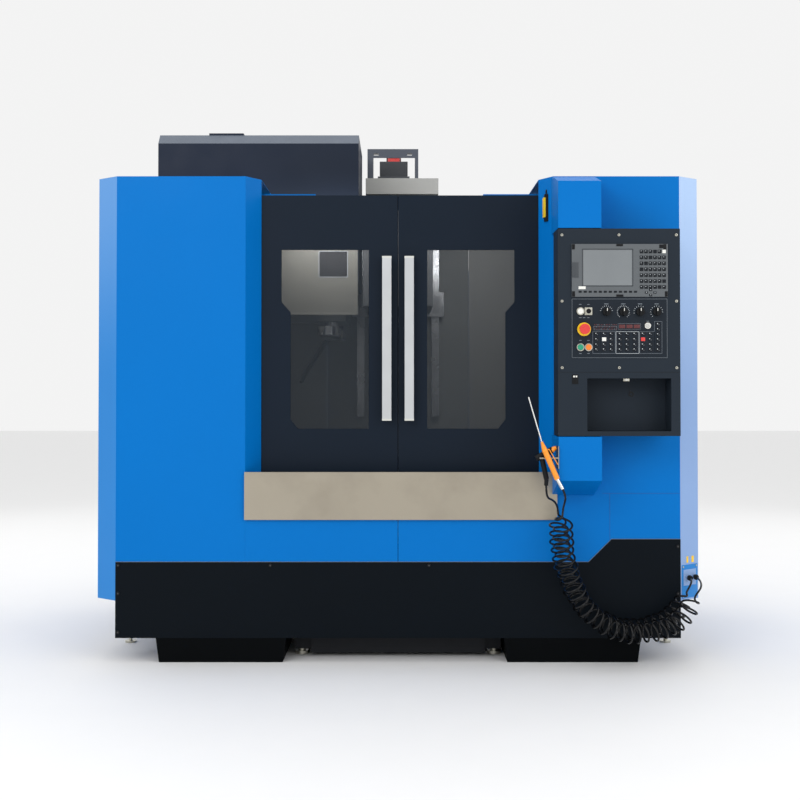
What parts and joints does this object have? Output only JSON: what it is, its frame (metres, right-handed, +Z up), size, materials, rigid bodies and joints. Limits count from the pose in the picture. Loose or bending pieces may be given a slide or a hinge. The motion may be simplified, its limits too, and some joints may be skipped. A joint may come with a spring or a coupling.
{
  "type": "cnc machining center",
  "caption": "Vertical machining center in a full sheet-metal guard with sliding doors, swivelling control panel, raised magazine cover and coiled gun hoses.",
  "frame": {"origin": "on the floor under the middle of the machine's box", "axes": "+Z up, operator's side towards -Y, +X to the operator's right"},
  "size_m": [2.672, 2.525, 2.486],
  "materials": {
    "blue_paint": "semi-gloss textured powder coat",
    "dark_paint": "satin powder coat",
    "panel_paint": "fine-textured powder coat",
    "stainless": "brushed, smudged",
    "lining": "plain sheet",
    "door_glass": "tinted laminated",
    "satin_aluminium": "satin anodised",
    "grey_casting": "painted casting",
    "ground_steel": "ground",
    "servo_black": "satin",
    "zinc_steel": "zinc plated",
    "case_grey": "textured",
    "bezel_plastic": "fine grain",
    "membrane": "matt membrane",
    "black_plastic": "moulded",
    "red_plastic": "moulded",
    "green_plastic": "moulded",
    "orange_plastic": "moulded",
    "white_plastic": "moulded",
    "lock_chrome": "polished",
    "hose_black": "smooth polyurethane",
    "fitting_steel": "turned"
  },
  "bodies": {
    "frame": {"left_cabinet": "blue_paint", "right_cabinet": "blue_paint", "rear_guard": "blue_paint", "lower_front_panels": "blue_paint", "apron": "stainless", "base_skirt": "dark_paint", "inner_guard": "lining", "door_tracks": "blue_paint", "bed": "grey_casting", "column": "grey_casting", "guide_rails": "ground_steel", "y_servo": "servo_black", "z_servo": "servo_black", "z_motor_portal": "dark_paint", "magazine_cover": "dark_paint", "tool_changer": "grey_casting", "coolant_tanks": "dark_paint", "levelling_feet": "zinc_steel", "electrical_cabinet": "case_grey", "panel_arms": "blue_paint", "air_gun": "orange_plastic", "coolant_gun": "black_plastic", "gun_holder_and_fittings": "fitting_steel", "air_hose": "hose_black", "coolant_hose": "hose_black"},
    "left_door_leaf": {"left_door": "dark_paint", "left_window": "door_glass", "left_handle": "satin_aluminium"},
    "right_door_leaf": {"right_door": "dark_paint", "right_window": "door_glass", "right_handle": "satin_aluminium"},
    "cross_saddle": {"saddle": "grey_casting", "saddle_guides": "ground_steel", "x_servo": "servo_black"},
    "work_table": {"table": "ground_steel", "table_guides": "ground_steel"},
    "x_screw": {"x_ball_screw": "ground_steel"},
    "y_screw": {"y_ball_screw": "ground_steel"},
    "z_screw": {"z_ball_screw": "ground_steel"},
    "head": {"spindle_head": "grey_casting", "spindle_motor": "servo_black", "head_guides": "ground_steel"},
    "spindle_shaft": {"spindle": "ground_steel"},
    "magazine": {"magazine_disc": "zinc_steel"},
    "changer_arm": {"tool_arm": "ground_steel"},
    "rear_door": {"electrical_door": "case_grey"},
    "control_panel": {"panel_housing": "panel_paint", "display_unit": "bezel_plastic", "operator_plate": "membrane"},
    "white_cap": {"white_button": "white_plastic"},
    "green_cap": {"green_button": "green_plastic"},
    "orange_cap": {"orange_button": "orange_plastic"},
    "stop_cap": {"emergency_stop": "red_plastic"},
    "mode_dial": {"mode_knob": "black_plastic"},
    "feed_dial": {"feed_knob": "black_plastic"},
    "rapid_dial": {"rapid_knob": "black_plastic"},
    "spindle_dial": {"spindle_knob": "black_plastic"},
    "key_barrel": {"key_switch": "lock_chrome"},
    "air_lever_body": {"air_lever": "red_plastic"},
    "coolant_trigger_body": {"coolant_trigger": "black_plastic"}
  },
  "joints": [
    {"name": "left_door_slide", "type": "slide", "parent": "frame", "child": "left_door_leaf", "axis": [-1, 0, 0], "range_m": [0, 0.535]},
    {"name": "right_door_slide", "type": "slide", "parent": "frame", "child": "right_door_leaf", "axis": [1, 0, 0], "range_m": [0, 0.535]},
    {"name": "saddle_slide", "type": "slide", "parent": "frame", "child": "cross_saddle", "axis": [0, 1, 0], "range_m": [-0.25, 0.25]},
    {"name": "table_slide", "type": "slide", "parent": "cross_saddle", "child": "work_table", "axis": [1, 0, 0], "range_m": [-0.4, 0.4]},
    {"name": "head_slide", "type": "slide", "parent": "frame", "child": "head", "axis": [0, 0, 1], "range_m": [-0.5, 0]},
    {"name": "y_screw_spin", "type": "hinge", "parent": "frame", "child": "y_screw", "pos_m": [0, -0.295, 0.46], "axis": [0, 1, 0], "range_deg": [-5636.25, 5636.25]},
    {"name": "x_screw_spin", "type": "hinge", "parent": "cross_saddle", "child": "x_screw", "pos_m": [0, -0.295, 0.705], "axis": [1, 0, 0], "range_deg": [-9011.25, 9011.25]},
    {"name": "z_screw_spin", "type": "hinge", "parent": "frame", "child": "z_screw", "pos_m": [-0.023, 0.273, 1.6], "axis": [0, 0, 1], "range_deg": [-11261.25, 11.25]},
    {"name": "spindle_spin", "type": "hinge", "parent": "head", "child": "spindle_shaft", "pos_m": [0, -0.295, 1.6], "axis": [0, 0, 1], "continuous": true},
    {"name": "magazine_spin", "type": "hinge", "parent": "frame", "child": "magazine", "pos_m": [-0.65, -0.214, 1.985], "axis": [0, 1, 0], "continuous": true},
    {"name": "arm_swing", "type": "hinge", "parent": "frame", "child": "changer_arm", "pos_m": [-0.325, -0.295, 1.47], "axis": [0, 0, 1], "range_deg": [0, 270]},
    {"name": "rear_door_swing", "type": "hinge", "parent": "frame", "child": "rear_door", "pos_m": [0.4373, 1.22, 1.2], "axis": [0, 0, 1], "range_deg": [-110, 0]},
    {"name": "panel_swivel", "type": "hinge", "parent": "frame", "child": "control_panel", "pos_m": [0.768, -1.145, 1.436], "axis": [0, 0, 1], "range_deg": [-90, 0]},
    {"name": "white_button_press", "type": "slide", "parent": "control_panel", "child": "white_cap", "axis": [0, 1, 0], "range_m": [0, 0.003], "stiffness_N_per_m": 300},
    {"name": "green_button_press", "type": "slide", "parent": "control_panel", "child": "green_cap", "axis": [0, 1, 0], "range_m": [0, 0.003], "stiffness_N_per_m": 300},
    {"name": "orange_button_press", "type": "slide", "parent": "control_panel", "child": "orange_cap", "axis": [0, 1, 0], "range_m": [0, 0.003], "stiffness_N_per_m": 300},
    {"name": "emergency_stop_press", "type": "slide", "parent": "control_panel", "child": "stop_cap", "axis": [0, 1, 0], "range_m": [0, 0.006]},
    {"name": "mode_knob_turn", "type": "hinge", "parent": "control_panel", "child": "mode_dial", "pos_m": [0.879, -1.225, 1.521], "axis": [0, 1, 0], "range_deg": [-135, 135]},
    {"name": "feed_knob_turn", "type": "hinge", "parent": "control_panel", "child": "feed_dial", "pos_m": [0.9505, -1.225, 1.521], "axis": [0, 1, 0], "range_deg": [-135, 135]},
    {"name": "rapid_knob_turn", "type": "hinge", "parent": "control_panel", "child": "rapid_dial", "pos_m": [1.021, -1.225, 1.521], "axis": [0, 1, 0], "range_deg": [-135, 135]},
    {"name": "spindle_knob_turn", "type": "hinge", "parent": "control_panel", "child": "spindle_dial", "pos_m": [1.091, -1.225, 1.521], "axis": [0, 1, 0], "range_deg": [-135, 135]},
    {"name": "key_turn", "type": "hinge", "parent": "control_panel", "child": "key_barrel", "pos_m": [1.053, -1.225, 1.463], "axis": [0, 1, 0], "range_deg": [0, 60]},
    {"name": "air_lever_press", "type": "hinge", "parent": "frame", "child": "air_lever_body", "pos_m": [0.63123, -1.245, 0.94215], "axis": [0, 1, 0], "range_deg": [0, 6], "stiffness_Nm_per_rad": 0.6},
    {"name": "coolant_trigger_press", "type": "hinge", "parent": "frame", "child": "coolant_trigger_body", "pos_m": [0.64616, -1.21, 0.91787], "axis": [0, 1, 0], "range_deg": [0, 18], "stiffness_Nm_per_rad": 0.4}
  ],
  "couplings": [
    {"joint": "x_screw_spin", "follows": "table_slide", "rad_per_m": 392.7},
    {"joint": "y_screw_spin", "follows": "saddle_slide", "rad_per_m": 392.7},
    {"joint": "z_screw_spin", "follows": "head_slide", "rad_per_m": 392.7}
  ]
}
